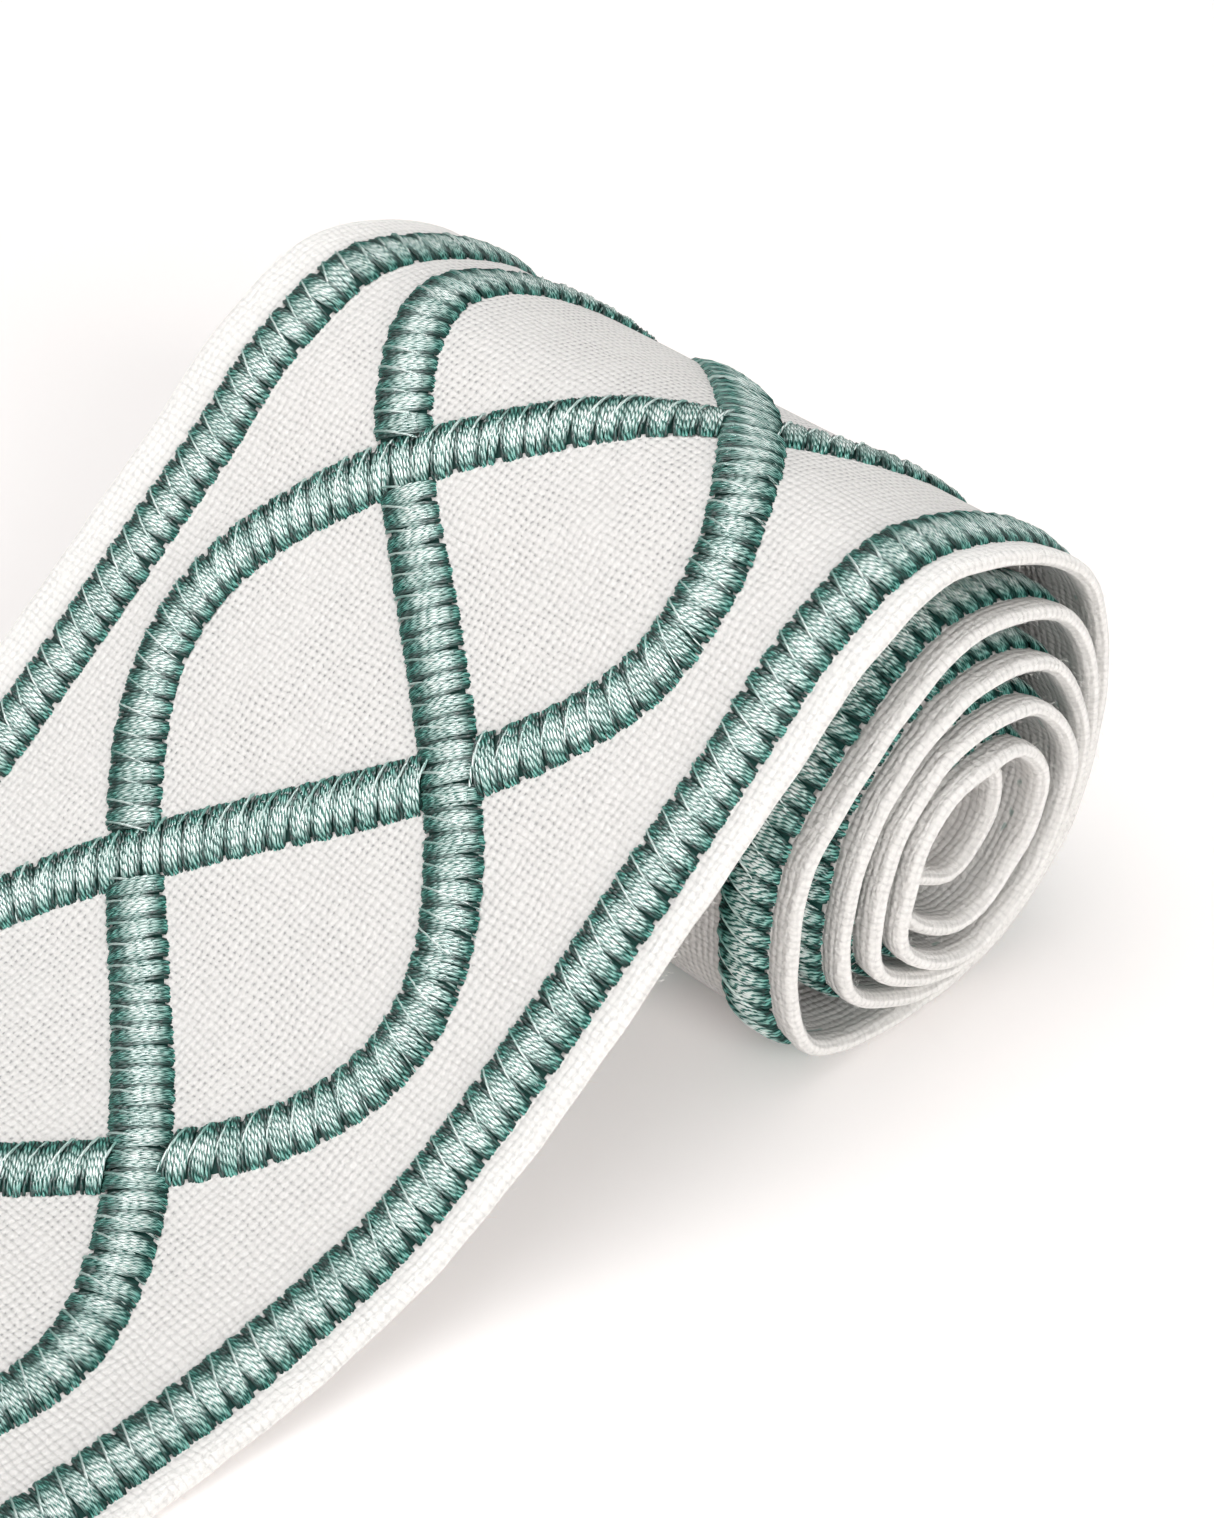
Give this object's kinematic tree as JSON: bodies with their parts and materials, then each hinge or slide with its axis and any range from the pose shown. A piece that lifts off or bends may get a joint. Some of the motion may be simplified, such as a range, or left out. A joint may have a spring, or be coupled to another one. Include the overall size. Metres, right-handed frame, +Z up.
{
  "type": "embroidered tape trim",
  "caption": "Wide linen trimming tape, loosely rolled with its free end running down flat, satin-stitch borders and a plaited band in the middle.",
  "frame": {"origin": "middle of the base, on the surface that the tape lies on", "axes": "+X along the tape from its cut end towards the roll, +Y across its width, +Z up"},
  "size_m": [0.1792, 0.0938, 0.052],
  "materials": {
    "linen": "off-white plain weave",
    "teal_thread": "lustrous two-ply thread in satin stitch"
  },
  "bodies": {
    "root": {"ground_tape": "linen", "satin_border_near": "teal_thread", "satin_border_far": "teal_thread", "plait_strand_a_1": "teal_thread", "plait_strand_a_2": "teal_thread", "plait_strand_a_3": "teal_thread", "plait_strand_a_4": "teal_thread", "plait_strand_a_5": "teal_thread", "plait_strand_a_6": "teal_thread", "plait_strand_b_1": "teal_thread", "plait_strand_b_2": "teal_thread", "plait_strand_b_3": "teal_thread", "plait_strand_b_4": "teal_thread", "plait_strand_b_5": "teal_thread", "plait_strand_c_1": "teal_thread", "plait_strand_c_2": "teal_thread", "plait_strand_c_3": "teal_thread", "plait_strand_c_4": "teal_thread", "plait_strand_c_5": "teal_thread"}
  },
  "joints": []
}
